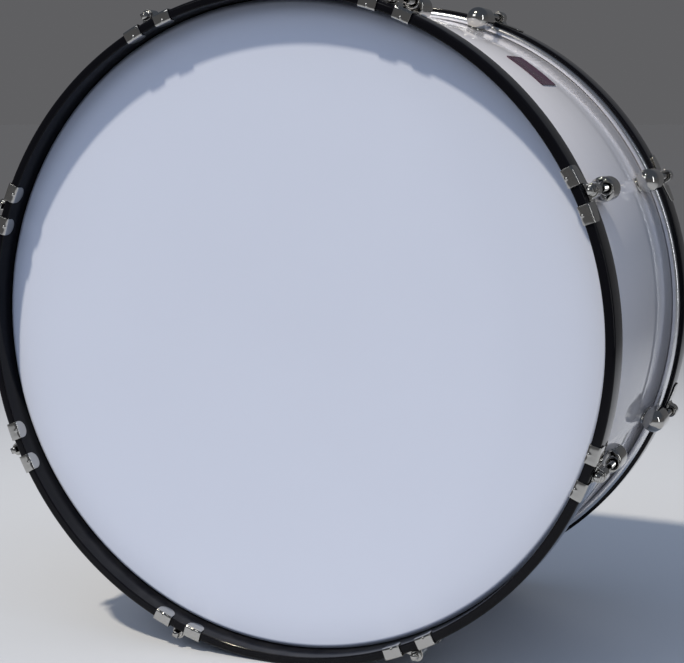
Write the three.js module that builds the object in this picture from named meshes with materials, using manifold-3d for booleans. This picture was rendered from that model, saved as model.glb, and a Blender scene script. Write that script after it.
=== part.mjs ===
import * as THREE from 'three';
import { mergeVertices } from 'three/addons/utils/BufferGeometryUtils.js';
import Module from 'manifold-3d';

// A marching bass drum standing on its two hoops. Lengths are in millimetres.
// The drum's axis lies along Y, the front head faces -Y and +Z is up.
// The origin is on the floor, under the middle of the drum.

// Driving dimensions of the shell and its white covering
const shellRadius = 304.8;
const shellDepth = 304.8;
const shellWall = 6.5;
const edgeTipInset = 1.8;
const edgeRound = 2.5;
const edgeBevel = 4;
const coverThickness = 0.8;
const coverEdgeInset = 5;

// Driving dimensions of the wooden counter hoops, whose clearance is from the shell
const hoopClearance = 3.2;
const hoopThickness = 9;
const hoopWidth = 30;
const hoopBevel = 1.2;
const headRecess = 23;

// Driving dimensions of the heads and of the metal flesh hoops that hold them
const filmThickness = 0.5;
const fleshHeight = 9.5;
const fleshOuterWall = 1.2;
const fleshFloor = 1.2;
const fleshThickness = 7;
const filmEndClearance = 1.5;

// Driving dimensions of the claws
const clawThickness = 1.8;
const clawWidth = 52.5;
const lipWidth = 17.5;
const lipReach = 12.5;
const lipBevel = 1;
const plateReach = 25;
const plateShoulder = 15;
const notchDepth = 9;
const bossStart = 9;
const bossLength = 13;
const bossRadius = 6.4;

// Driving dimensions of the tension rods
const rodOffset = 5.5;
const rodRadius = 2.9;
const rodTip = 86;
const rodHeadSide = 6.2;
const rodHeadHeight = 6.5;
const rodFlangeRadius = 5;
const rodFlangeThickness = 1.6;
const boreClearance = 0.85;
const studClearance = 0.6;

// Driving dimensions of the lugs
const lugMouth = 60;
const lugCollarRadius = 6.8;
const lugCollarLength = 3;
const lugShoulder = 2;
const lugRadius = 12.2;
const lugDomeStart = 87;
const lugBoreEnd = 90;
const studDepth = 79;
const studRadius = 2.6;
const studHeadRadius = 5.6;
const studHeadHeight = 4.2;

// Driving dimensions of the badge and the air vent
const badgeWidth = 46;
const badgeLength = 50;
const badgeThickness = 0.8;
const badgeCorner = 2.5;
const badgeShift = 18;
const ventFlangeRadius = 10;
const ventTubeRadius = 6;
const ventBoreRadius = 4.2;
const ventFlangeThickness = 1.5;

// The gap left between pieces that touch, and how far a cutter runs past what it cuts
const fitGap = 0.3;
const overrun = 2;

// Counts and angles. The stations start and step by whole flats of the large rings.
const stations = 8;
const facets = 72;
const facetsToFirstStation = 4;
const facetsToBadge = 7.5;
const facetsToVent = -18;
const rodSides = 8;
const boreSides = 6;
const lugSides = 8;
const ventSides = 8;
const boltSides = 6;
const domeSteps = 2;
const arcSteps = 2;
const facetAngle = 2 * Math.PI / facets;
const stationAngle = 2 * Math.PI / stations;
const firstStationAngle = facetsToFirstStation * facetAngle;
const badgeAngle = facetsToBadge * facetAngle;
const ventAngle = facetsToVent * facetAngle;
const cornerShare = 1 / Math.cos(facetAngle / 2);

// Sizes that follow from the driving dimensions
const hoopInnerRadius = shellRadius + hoopClearance;
const hoopOuterRadius = hoopInnerRadius + hoopThickness;
const overallDepth = shellDepth + 2 * headRecess;
const coverInnerRadius = shellRadius + fitGap;
const coverOuterRadius = coverInnerRadius + coverThickness;
const fleshInnerRadius = coverOuterRadius + fitGap;
const fleshOuterRadius = fleshInnerRadius + fleshThickness;
const filmOuterRadius = hoopInnerRadius - fitGap;
const rodCircle = hoopOuterRadius + rodOffset;
const boreRadius = rodRadius + boreClearance;
const lugSeat = coverOuterRadius + fitGap;
const casingCircle = lugSeat + lugRadius * Math.cos(Math.PI / lugSides);

// Materials
const finishes = {
  wood: { color: 0xc9a878, roughness: 0.6, metalness: 0 },
  white: { color: 0xe4e1ea, roughness: 0.18, metalness: 0 },
  black: { color: 0x0b0b0d, roughness: 0.15, metalness: 0 },
  film: { color: 0xd9dfee, roughness: 0.45, metalness: 0 },
  aluminium: { color: 0xc6c8cc, roughness: 0.35, metalness: 1 },
  chrome: { color: 0xd8d9dc, roughness: 0.12, metalness: 1 },
  maroon: { color: 0x4a2230, roughness: 0.4, metalness: 0.3 },
};

const wasm = await Module();
wasm.setup();

// A closed geometry as a solid that can be joined and cut
function toSolid(geometry) {
  const bare = geometry.clone();
  bare.deleteAttribute('normal');
  bare.deleteAttribute('uv');
  const merged = mergeVertices(bare);
  const corners = [];
  for (let i = 0; i < merged.index.count; i += 3) {
    const triangle = [0, 1, 2].map((k) => merged.index.getX(i + k));
    if (new Set(triangle).size === 3) corners.push(...triangle);
  }
  return new wasm.Manifold(new wasm.Mesh({
    numProp: 3,
    vertProperties: merged.attributes.position.array,
    triVerts: new Uint32Array(corners),
  }));
}

// A solid as the geometry of a mesh
function toGeometry(solid) {
  const mesh = solid.getMesh();
  const geometry = new THREE.BufferGeometry();
  geometry.setAttribute('position', new THREE.BufferAttribute(mesh.vertProperties, 3));
  geometry.setIndex(new THREE.BufferAttribute(mesh.triVerts, 1));
  geometry.computeVertexNormals();
  return geometry;
}

// A profile of [radius, distance along the axis] turned round Y
function turned(profile, sides, startAngle = 0) {
  const points = profile.map(([radius, along]) => new THREE.Vector2(radius, along));
  return toSolid(new THREE.LatheGeometry(points, sides, startAngle));
}

// A large ring whose flats, not its corners, lie at the given radii
function ring(profile) {
  const closed = [...profile, profile[0]];
  const scaled = closed.map(([radius, along]) => [radius * cornerShare, along]);
  return turned(scaled, facets, facetAngle / 2);
}

// A plane outline across and along the drum, raised from one radius to another
function raised(shape, fromRadius, toRadius) {
  const geometry = new THREE.ExtrudeGeometry(shape, {
    depth: toRadius - fromRadius,
    bevelEnabled: false,
    curveSegments: arcSteps,
  });
  geometry.translate(0, 0, fromRadius);
  return toSolid(geometry);
}

// A round bar along the drum's axis direction at the rods' circle
function bar(radius, from, to, sides) {
  const profile = [[0, from], [radius, from], [radius, to], [0, to]];
  return turned(profile, sides, Math.PI / sides).translate([0, 0, rodCircle]);
}

// A bolt-like bar that points from the drum's axis outward, at a distance along the drum
function radialBar(radius, fromRadius, toRadius, along, sides) {
  const geometry = new THREE.CylinderGeometry(radius, radius, toRadius - fromRadius, sides);
  geometry.rotateX(Math.PI / 2);
  geometry.translate(0, along, (fromRadius + toRadius) / 2);
  return toSolid(geometry);
}

// The angle of a station, clockwise from the top as seen from the front
function angleOf(station) {
  return firstStationAngle + station * stationAngle;
}

// A solid turned round the drum's axis
function turnedTo(solid, angle) {
  return solid.rotate([0, THREE.MathUtils.radToDeg(angle), 0]);
}

// The lugs' bolt holes, for both ends, with the drum's middle at zero
const studHoleRadius = studRadius + studClearance;

function cutHoles(tube) {
  const innermost = shellRadius - shellWall - overrun;
  const outermost = coverOuterRadius + overrun;
  let cut = tube;
  for (let station = 0; station < stations; station += 1) {
    for (const side of [-1, 1]) {
      const along = side * (overallDepth / 2 - studDepth);
      const hole = radialBar(studHoleRadius, innermost, outermost, along, boltSides);
      cut = cut.subtract(turnedTo(hole, angleOf(station)));
    }
  }
  const ventHole = radialBar(ventTubeRadius + fitGap, innermost, outermost, 0, ventSides);
  return cut.subtract(turnedTo(ventHole, ventAngle));
}

// The wooden shell: each rim is rounded outside and cut at 45 degrees inside
function shellSolid() {
  const half = shellDepth / 2;
  const inner = shellRadius - shellWall;
  const tip = shellRadius - edgeTipInset;
  return cutHoles(ring([
    [inner, edgeBevel - half],
    [tip, -half],
    [shellRadius, edgeRound - half],
    [shellRadius, half - edgeRound],
    [tip, half],
    [inner, half - edgeBevel],
  ]));
}

// The white covering, a sleeve on the shell that stops short of its rims
function coverSolid() {
  const end = shellDepth / 2 - coverEdgeInset;
  return cutHoles(ring([
    [coverInnerRadius, -end],
    [coverOuterRadius, -end],
    [coverOuterRadius, end],
    [coverInnerRadius, end],
  ]));
}

// The badge, a thin plate bent to the covering, whose flats it follows
function badgeSolid() {
  const inner = coverOuterRadius + fitGap;
  const outer = inner + badgeThickness;
  const x = badgeWidth / 2;
  const y = badgeLength / 2;
  const sleeve = turnedTo(ring([[inner, -y], [outer, -y], [outer, y], [inner, y]]), -badgeAngle);
  const outline = new THREE.Shape();
  outline.moveTo(badgeCorner - x, -y);
  outline.lineTo(x - badgeCorner, -y);
  outline.lineTo(x, badgeCorner - y);
  outline.lineTo(x, y - badgeCorner);
  outline.lineTo(x - badgeCorner, y);
  outline.lineTo(badgeCorner - x, y);
  outline.lineTo(-x, y - badgeCorner);
  outline.lineTo(-x, badgeCorner - y);
  return sleeve.intersect(raised(outline, shellRadius, outer + overrun));
}

// The air vent, a flanged grommet through the shell, turned round its own axis
function ventSolid() {
  const wallInner = shellRadius - shellWall - fitGap;
  const wallOuter = coverOuterRadius + fitGap;
  const profile = [
    [ventBoreRadius, wallInner - ventFlangeThickness],
    [ventTubeRadius + ventFlangeThickness, wallInner - ventFlangeThickness],
    [ventTubeRadius, wallInner],
    [ventTubeRadius, wallOuter],
    [ventFlangeRadius, wallOuter],
    [ventTubeRadius, wallOuter + ventFlangeThickness],
    [ventBoreRadius, wallOuter + ventFlangeThickness],
  ];
  return turned([...profile, profile[0]], ventSides).rotate([90, 0, 0]);
}

// The pieces of one end. Distance along Y is measured from the hoop's outer edge inward.

// The counter hoop, with the corners of its outer edge eased
function hoopSolid() {
  return ring([
    [hoopInnerRadius + hoopBevel, 0],
    [hoopOuterRadius - hoopBevel, 0],
    [hoopOuterRadius, hoopBevel],
    [hoopOuterRadius, hoopWidth],
    [hoopInnerRadius, hoopWidth],
    [hoopInnerRadius, hoopBevel],
  ]);
}

// The flesh hoop, an angle ring under the counter hoop that holds the edge of the film
const fleshTop = hoopWidth + fitGap;
const fleshBottom = fleshTop + fleshHeight;

function fleshSolid() {
  const floor = fleshBottom - fleshFloor;
  const wall = fleshOuterRadius - fleshOuterWall;
  return ring([
    [fleshInnerRadius, floor],
    [wall, floor],
    [wall, fleshTop],
    [fleshOuterRadius, fleshTop],
    [fleshOuterRadius, fleshBottom],
    [fleshInnerRadius, fleshBottom],
  ]);
}

// The head: a flat film that bends over the shell's rim and ends inside the flesh hoop
function headSolid() {
  const back = headRecess - fitGap;
  const front = back - filmThickness;
  const skirt = filmOuterRadius - filmThickness;
  const rim = shellRadius - edgeTipInset;
  const end = fleshBottom - fleshFloor - filmEndClearance;
  const skirtStart = back + edgeRound + fitGap;
  const profile = [
    [0, front],
    [rim, front],
    [filmOuterRadius, skirtStart],
    [filmOuterRadius, end],
    [skirt, end],
    [skirt, skirtStart],
    [rim, back],
    [0, back],
  ];
  const scaled = profile.map(([radius, along]) => [radius * cornerShare, along]);
  return turned(scaled, facets, facetAngle / 2);
}

// The claw: two rounded lips hook over the hoop, and a plate outside it carries the rod's eye
function lipOutline(middle) {
  const half = lipWidth / 2;
  const start = -fitGap - clawThickness;
  const outline = new THREE.Shape();
  outline.moveTo(middle - half, start);
  outline.lineTo(middle + half, start);
  outline.lineTo(middle + half, lipReach - half);
  outline.absarc(middle, lipReach - half, half, 0, Math.PI, false);
  return outline;
}

function plateOutline() {
  const half = clawWidth / 2;
  const notch = half - lipWidth;
  const start = -fitGap - clawThickness;
  const outline = new THREE.Shape();
  outline.moveTo(-half, start);
  outline.lineTo(-notch, start);
  outline.lineTo(-notch, notchDepth);
  outline.lineTo(notch, notchDepth);
  outline.lineTo(notch, start);
  outline.lineTo(half, start);
  outline.lineTo(half, plateShoulder);
  outline.lineTo(bossRadius, plateReach);
  outline.lineTo(-bossRadius, plateReach);
  outline.lineTo(-half, plateShoulder);
  return outline;
}

function eyeBoss(seat) {
  const outline = new THREE.Shape();
  outline.moveTo(bossRadius, seat);
  outline.lineTo(bossRadius, rodCircle);
  outline.absarc(0, rodCircle, bossRadius, 0, Math.PI, false);
  outline.lineTo(-bossRadius, seat);
  const geometry = new THREE.ExtrudeGeometry(outline, {
    depth: bossLength,
    bevelEnabled: false,
    curveSegments: arcSteps,
  });
  geometry.rotateX(Math.PI / 2);
  geometry.translate(0, bossStart + bossLength, 0);
  const eye = bar(boreRadius, bossStart - overrun, bossStart + bossLength + overrun, boreSides);
  return toSolid(geometry).subtract(eye);
}

function clawSolid() {
  const inner = hoopInnerRadius - fitGap;
  const outer = hoopOuterRadius + fitGap;
  const front = -fitGap - clawThickness;
  const hook = ring([
    [inner - clawThickness, front + lipBevel],
    [inner - clawThickness + lipBevel, front],
    [outer + clawThickness - lipBevel, front],
    [outer + clawThickness, front + lipBevel],
    [outer + clawThickness, plateReach + overrun],
    [outer, plateReach + overrun],
    [outer, -fitGap],
    [inner, -fitGap],
    [inner, lipReach + overrun],
    [inner - clawThickness, lipReach + overrun],
  ]);
  const lowest = inner - clawThickness - overrun;
  const middle = (inner + outer) / 2;
  const highest = outer + clawThickness + overrun;
  let outline = raised(plateOutline(), middle, highest);
  for (const side of [-1, 1]) {
    outline = outline.add(raised(lipOutline(side * (clawWidth - lipWidth) / 2), lowest, middle));
  }
  return hook.intersect(outline).add(eyeBoss(outer));
}

// The tension rod: a square key head on a flange, and a shank that screws into the lug
function rodSolid() {
  const flangeEnd = bossStart - fitGap;
  const flangeStart = flangeEnd - rodFlangeThickness;
  const headMiddle = flangeStart - rodHeadHeight / 2;
  const turnedPart = turned([
    [0, flangeStart],
    [rodFlangeRadius, flangeStart],
    [rodFlangeRadius, flangeEnd],
    [rodRadius, flangeEnd],
    [rodRadius, rodTip],
    [0, rodTip],
  ], rodSides, Math.PI / rodSides);
  const head = new THREE.BoxGeometry(rodHeadSide, rodHeadHeight, rodHeadSide);
  head.translate(0, headMiddle, 0);
  return turnedPart.add(toSolid(head)).translate([0, 0, rodCircle]);
}

// The lug: a domed casing that lies on the shell on one of its flats, with a collar round the
// rod at its mouth. It is bored for the rod and bolted through the shell.
function lugSolid() {
  const casingStart = lugMouth + lugCollarLength;
  const profile = [
    [0, casingStart],
    [lugRadius - lugShoulder, casingStart],
    [lugRadius, casingStart + lugShoulder],
  ];
  for (let step = 0; step <= domeSteps; step += 1) {
    const sweep = step * Math.PI / 2 / domeSteps;
    const radius = step < domeSteps ? lugRadius * Math.cos(sweep) : 0;
    profile.push([radius, lugDomeStart + lugRadius * Math.sin(sweep)]);
  }
  const casing = turned(profile, lugSides, Math.PI / lugSides).translate([0, 0, casingCircle]);
  const collar = bar(lugCollarRadius, lugMouth, casingStart + lugShoulder, lugSides);
  const innerSeat = shellRadius - shellWall - fitGap;
  const stud = radialBar(studRadius, innerSeat, casingCircle, studDepth, boltSides);
  const studHead = radialBar(studHeadRadius, innerSeat - studHeadHeight, innerSeat, studDepth, boltSides);
  const bore = bar(boreRadius, lugMouth - overrun, lugBoreEnd, boreSides);
  return casing.add(collar).subtract(bore).add(stud).add(studHead);
}

// Assembly
const group = new THREE.Group();
group.position.z = hoopOuterRadius;

function place(parent, name, geometry, finish) {
  const mesh = new THREE.Mesh(geometry, new THREE.MeshStandardMaterial(finishes[finish]));
  mesh.name = name;
  parent.add(mesh);
  return mesh;
}

place(group, 'shell', toGeometry(shellSolid()), 'wood');
place(group, 'shell_wrap', toGeometry(coverSolid()), 'white');

const badge = place(group, 'badge_plate', toGeometry(badgeSolid()), 'maroon');
badge.position.y = badgeShift;
badge.rotation.y = badgeAngle;

const vent = place(group, 'vent_grommet', toGeometry(ventSolid()), 'chrome');
vent.rotation.y = ventAngle;

const endPieces = [
  ['hoop', hoopSolid(), 'black'],
  ['flesh_hoop', fleshSolid(), 'aluminium'],
  ['head', headSolid(), 'film'],
].map(([name, solid, finish]) => [name, toGeometry(solid), finish]);

const stationPieces = [
  ['claw', clawSolid(), 'chrome'],
  ['rod', rodSolid(), 'chrome'],
  ['lug', lugSolid(), 'chrome'],
].map(([name, solid, finish]) => [name, toGeometry(solid), finish]);

for (const [end, side] of [['front', -1], ['rear', 1]]) {
  const endGroup = new THREE.Group();
  endGroup.position.y = side * overallDepth / 2;
  endGroup.rotation.z = side > 0 ? Math.PI : 0;
  group.add(endGroup);
  for (const [name, geometry, finish] of endPieces) {
    place(endGroup, `${end}_${name}`, geometry, finish);
  }
  for (let station = 0; station < stations; station += 1) {
    const stationGroup = new THREE.Group();
    stationGroup.rotation.y = -side * angleOf(station);
    endGroup.add(stationGroup);
    for (const [name, geometry, finish] of stationPieces) {
      place(stationGroup, `${end}_${name}_${station + 1}`, geometry, finish);
    }
  }
}

export default group;
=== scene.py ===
"""A marching bass drum on a pale floor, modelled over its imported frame.

The front head faces -Y, the drum's axis lies along Y, and +Z is up. Lengths are in metres.
Each operator makes one group of like pieces, and main() calls them in order.
"""

import math

import bmesh
import bpy
from bpy.props import FloatProperty, FloatVectorProperty, PointerProperty
from mathutils import Matrix, Vector


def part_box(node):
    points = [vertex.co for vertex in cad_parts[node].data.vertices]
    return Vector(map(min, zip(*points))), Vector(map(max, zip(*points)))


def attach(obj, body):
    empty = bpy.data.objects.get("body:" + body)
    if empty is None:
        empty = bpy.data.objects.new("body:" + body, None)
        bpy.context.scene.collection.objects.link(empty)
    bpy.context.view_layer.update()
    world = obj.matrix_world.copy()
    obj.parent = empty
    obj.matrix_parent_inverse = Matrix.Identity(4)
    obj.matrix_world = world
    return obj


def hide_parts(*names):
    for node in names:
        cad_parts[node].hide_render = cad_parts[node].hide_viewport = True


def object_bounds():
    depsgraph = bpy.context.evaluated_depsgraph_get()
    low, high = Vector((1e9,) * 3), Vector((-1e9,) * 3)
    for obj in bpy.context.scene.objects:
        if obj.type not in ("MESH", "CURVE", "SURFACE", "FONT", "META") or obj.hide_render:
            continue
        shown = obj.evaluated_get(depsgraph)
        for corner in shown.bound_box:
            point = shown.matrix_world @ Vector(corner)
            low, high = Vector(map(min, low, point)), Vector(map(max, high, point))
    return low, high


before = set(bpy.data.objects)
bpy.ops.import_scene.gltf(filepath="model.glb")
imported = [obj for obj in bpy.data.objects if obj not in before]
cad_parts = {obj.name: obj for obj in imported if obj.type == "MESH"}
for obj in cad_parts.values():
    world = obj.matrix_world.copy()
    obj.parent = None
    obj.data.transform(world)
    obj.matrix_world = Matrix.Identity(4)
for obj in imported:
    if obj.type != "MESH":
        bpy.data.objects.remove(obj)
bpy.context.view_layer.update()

bl_info = {
    "name": "Marching bass drum",
    "version": (1, 0, 0),
    "blender": (4, 5, 0),
    "location": "3D View > Sidebar > Drum",
    "description": "Models a two-headed marching bass drum, its tension hardware and a studio stage",
    "category": "Object",
}

MM = 0.001

# Places that the frame gives
AXIS_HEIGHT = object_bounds()[1].z / 2
HALF_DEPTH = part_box("rear_hoop")[1].y

# Directions, and a point on the drum's axis
SIDEWAYS, ALONG_DRUM, UPWARD = Vector((1, 0, 0)), Vector((0, 1, 0)), Vector((0, 0, 1))
AXIS_POINT = Vector((0, 0, AXIS_HEIGHT))

# The turn that takes a piece of the front end to the rear end
TO_REAR = Matrix.Rotation(math.pi, 4, "Z")

# How the tension stations stand round the drum, clockwise from the top as seen from the front
ENDS = ("front", "rear")
STATIONS = 8
FIRST_STATION = math.radians(20)
STATION_STEP = math.tau / STATIONS
BADGE_ANGLE = math.radians(37.5)
VENT_ANGLE = math.radians(-90)

# Fineness of the round pieces
RING_STEPS = 288
HEAD_STEPS = 192
SMALL_STEPS = 48
BAR_STEPS = 24
THREAD_STEPS = 24
DOME_STEPS = 16
EYE_STEPS = 20
FOOT_STEPS = 12
BADGE_STRIPS = 24

# Fineness of the roundings, from small edges to broad ones
EDGE_STEPS = 2
BEVEL_STEPS = 3
MOUTH_STEPS = 4
CORNER_STEPS = 5
RIM_STEPS = 6
SHOULDER_STEPS = 8
LIP_STEPS = 10

# Angles beyond which an edge counts as sharp: on most pieces, on claws and rods, and on threads
SMOOTH_ANGLE = math.radians(35)
SHARP_ANGLE = math.radians(50)
THREAD_ANGLE = math.radians(60)

# How close two points are merged, and how close a vertex counts as at a point or on a line
MERGE_DISTANCE = 0.002 * MM
AT_POINT = 0.05 * MM
ON_LINE = 0.1 * MM

# Small roundings and bevels
EDGE_TIP_ROUND = 0.6 * MM
EDGE_SIDE_ROUND = 1.5 * MM
BADGE_EDGE = 0.18 * MM
VENT_ROUND = 0.5 * MM
CHANNEL_LIP = 0.25 * MM
CHANNEL_FLOOR = 1.2 * MM
CHANNEL_TOPS = (0.4 * MM, 0.5 * MM)
NOTCH_ROUND = 2.2 * MM
PLATE_ROUND = 3.5 * MM
EYE_EDGE = 0.5 * MM
ROD_HEAD_ROUND = 0.7 * MM
FLANGE_ROUND = 0.35 * MM
COLLAR_ROUND = 0.7 * MM
FOOT_EDGE = 0.3 * MM
BOLT_HEAD_EDGE = 0.4 * MM

# Roundings as shares of a size: two bends as shares of the flesh hoop's heel, the film's lower bend
# as a share of its upper one, and a lip's end as a share of its width
HEEL_SHARES = (0.6, 0.8)
COLLAR_BEND = 0.6
LIP_END = 0.49

# The rings of the head's flat film, as shares of its radius
HEAD_RINGS = (0, 0.5, 0.9, 1)

# Lines that cut up the claw's blank for folding, in millimetres: beside each lip's middle, across
# the plate, beside the pip and down the plate. Each bend is cut into equal parts.
LIP_CUTS = (0, 0.35, 0.7, 1.05, 1.5, 2.1, 3, 4.6)
PLATE_CUTS = (-7.5, -4.5, -1.5, 1.5, 4.5, 7.5)
PIP_CUTS = (0.45, 0.9, 1.35, 1.9, 2.6)
DEPTH_CUTS = (3, 6, 12, 18, 21)
BEND_CUTS = 4

# How deep the eye's foot sits in the claw, as a share of the claw's thickness, and the foot's
# corners, each with its part of the flare and its height in thicknesses of the claw
EYE_SINK = 0.2
EYE_FOOT = ((1, 0), (1, 0.6), (0.35, 1), (0, 1.8))

# The rod: its head's eased top and crown, its flange's crown, the ends of its thread, and its tip
HEAD_TOP = 1.2 * MM
HEAD_CROWN = 0.7
HEAD_CROWN_DEPTH = 1.5 * MM
FLANGE_CROWN = 0.5 * MM
FLANGE_FLAT = 0.7
THREAD_RUNOUT = 0.8 * MM
THREAD_CLOSING = 0.6
TIP_BEVEL = (0.8 * MM, 1 * MM)

# The lug: its foot's layers, each with its part of the flare and its height, its countersink's edge,
# its bolt's washer, and the side of the bolt's head as a share of its washer's radius
FOOT_LAYERS = ((1, 0.0), (1, 1.3 * MM), (0.3, 2.2 * MM), (0, 4.0 * MM))
COUNTERSINK_EDGE = 0.4 * MM
WASHER = 0.9 * MM
BOLT_HEAD_SHARE = 0.9

# Colours of dust, wood grain and glue, how rubbing lines and wood grain run, how thick a ply is,
# and which part of it is glue
DUST = (0.55, 0.54, 0.52)
WOOD_GRAIN = (0.42, 0.25, 0.12)
GLUE_LINE = (0.25, 0.13, 0.06)
RUBBING_TURN = (0.4, 0.3, 0.7)
RUBBING_SCALE = (900.0, 60.0, 900.0)
WOOD_GRAIN_SCALE = (14.0, 260.0, 14.0)
PLY_THICKNESS = 1.1 * MM
GLUE_SHARE = 0.18

# The floor: its reach, where its painted pool of light (paler near the drum) starts and stops fading,
# how much brighter than its colour it is lit, and the share of its light that it throws back onto matt
# surfaces
FLOOR_RADIUS = 60
FLOOR_SIDES = 96
FLOOR_FADE = (0.55, 2.4)
FLOOR_GAIN = 1.2
FLOOR_BOUNCE = 0.4

# The lamps: place, aim, width and height, watts, colour, and whether mirrors show it
LAMPS = {
    "sky_lamp": ((-0.9, -1.95, 1.85), (0, 0, 0.35), (1.2, 0.8), 7, (0.97, 0.98, 1.0), True),
    "side_lamp": ((2.1, -0.6, 0.85), (0, 0, 0.4), (0.16, 1.6), 5, (0.95, 0.97, 1.0), True),
    "rear_lamp": ((-0.6, 2.5, 0.8), (0, 0, 0.35), (1.4, 0.9), 20, (0.96, 0.98, 1.0), False),
}
KEY_STRENGTH = 3.3
KEY_SPREAD = math.radians(3)
KEY_COLOUR = (1.0, 0.91, 0.75)
KEY_DIRECTION = (0.233, 0.432, -0.871)

# The room: how the backdrop and the light on matt surfaces change with height, and how much
# stronger that light is from the front than from behind
ROOM_RISE = (0.03, 0.6)
OVERHEAD = (0.08, 0.092, 0.115)
LOW_AIR = (0.14, 0.15, 0.17)
HIGH_AIR = (0.354, 0.45, 0.62)
ROOM_DEPTH = (0.3, -0.9)
ROOM_STRENGTH = (0.6, 1.9)

# The camera, fitted to the photograph
CAMERA_PLACE = (0.6067, -1.4765, 0.5204)
CAMERA_DIRECTION = (-0.3815, 0.9184, -0.1053)
CAMERA_SENSOR = 36
CAMERA_LENS = 82.38
CAMERA_SHIFT = -0.08
CAMERA_RANGE = (0.05, 200)


def radius_of(node):
    """Half the height of a round CAD node."""
    low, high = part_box(node)
    return (high.z - low.z) / 2


def length(name, description, default):
    """A length property, whose default is given in metres."""
    return FloatProperty(name=name, description=description, default=default, unit="LENGTH", precision=5)


def tint(name, description, default):
    """A colour property in linear red, green and blue."""
    return FloatVectorProperty(
        name=name, description=description, default=default, subtype="COLOR", size=3, min=0, max=1)


class ShellSizes(bpy.types.PropertyGroup):
    """Sizes of the wooden shell, its covering, the badge and the air vent."""

    shell_radius: length("Shell radius", "Outer radius of the wooden shell", radius_of("shell"))
    shell_depth: length("Shell depth", "Distance between the two bearing edges", 2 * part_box("shell")[1].y)
    shell_wall: length("Shell wall", "Thickness of the wooden shell", 6.5 * MM)
    edge_tip_inset: length("Edge tip inset", "How far the bearing edge lies inside the shell", 1.8 * MM)
    edge_round: length("Edge round", "Height of the rounded outside of the edge", 2.5 * MM)
    edge_bevel: length("Edge bevel", "Height of the slanted inside of the edge", 4 * MM)
    cover_radius: length("Covering radius", "Outer radius of the covering", radius_of("shell_wrap"))
    cover_thickness: length("Covering thickness", "Thickness of the covering", 0.8 * MM)
    cover_depth: length("Covering width", "Width of the covering", 2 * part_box("shell_wrap")[1].y)
    cover_round: length("Covering edge", "Rounding of the covering's edges", 0.25 * MM)
    bolt_hole: length("Bolt hole", "Radius of the holes for the lugs' bolts", 3.2 * MM)
    badge_width: length("Badge width", "Width of the badge round the drum", 46 * MM)
    badge_length: length("Badge length", "Length of the badge along the drum", 50 * MM)
    badge_thickness: length("Badge thickness", "Thickness of the badge", 0.8 * MM)
    badge_corner: length("Badge corner", "Radius of the badge's corners", 2.5 * MM)
    badge_border: length("Badge border", "Width of the badge's raised border", 1.8 * MM)
    badge_recess: length("Badge recess", "Depth of the badge's plain middle", 0.3 * MM)
    badge_shift: length("Badge shift", "Badge's distance behind the middle of the drum", 18 * MM)
    vent_flange: length("Vent flange", "Radius of the vent's flange", 10 * MM)
    vent_tube: length("Vent tube", "Outer radius of the vent's tube", 6 * MM)
    vent_bore: length("Vent bore", "Radius of the vent's bore", 4.2 * MM)
    vent_thickness: length("Vent thickness", "Thickness of the vent's flange", 1.5 * MM)


class RimSizes(bpy.types.PropertyGroup):
    """Sizes of the counter hoops, flesh hoops and heads."""

    hoop_radius: length("Hoop radius", "Outer radius of the counter hoop", radius_of("front_hoop"))
    hoop_thickness: length("Hoop thickness", "Thickness of the counter hoop", 9 * MM)
    hoop_width: length("Hoop width", "Width of the counter hoop along the drum", 30 * MM)
    hoop_round: length("Hoop rounding", "Rounding of the counter hoop's edges", 1.3 * MM)
    hoop_nose: length("Hoop nose", "Rounding of the hoop's outer front edge", 3 * MM)
    flesh_inner: length("Flesh hoop inside", "Inner radius of the flesh hoop", 306.2 * MM)
    flesh_radius: length("Flesh hoop radius", "Outer radius of the flesh hoop", radius_of("front_flesh_hoop"))
    flesh_height: length("Flesh hoop height", "Height of the flesh hoop along the drum", 9.5 * MM)
    flesh_wall: length("Flesh hoop wall", "Thickness of the flesh hoop's metal", 1.2 * MM)
    flesh_inner_wall: length("Flesh hoop inner wall", "Thickness of the channel's inner wall", 0.7 * MM)
    flesh_channel: length("Flesh hoop channel", "How far the inner wall stands in the channel", 2.6 * MM)
    flesh_heel: length("Flesh hoop heel", "Rounding of the channel's outer heel", 3 * MM)
    head_recess: length("Head recess", "Depth of the head inside the hoop", 22.2 * MM)
    film_thickness: length("Film thickness", "Thickness of the head's film", 0.5 * MM)
    film_radius: length("Film radius", "Outer radius of the film's collar", 307.7 * MM)
    film_end: length("Film end", "Depth at which the film's collar ends", 36.9 * MM)
    film_bend: length("Film bend", "Radius of the film's bend over the bearing edge", 2 * MM)
    film_collar: length("Film collar", "Depth of the film's sloping collar", 4.8 * MM)
    film_slope: length("Film slope", "Width of the film's sloping collar", 3.8 * MM)


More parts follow.
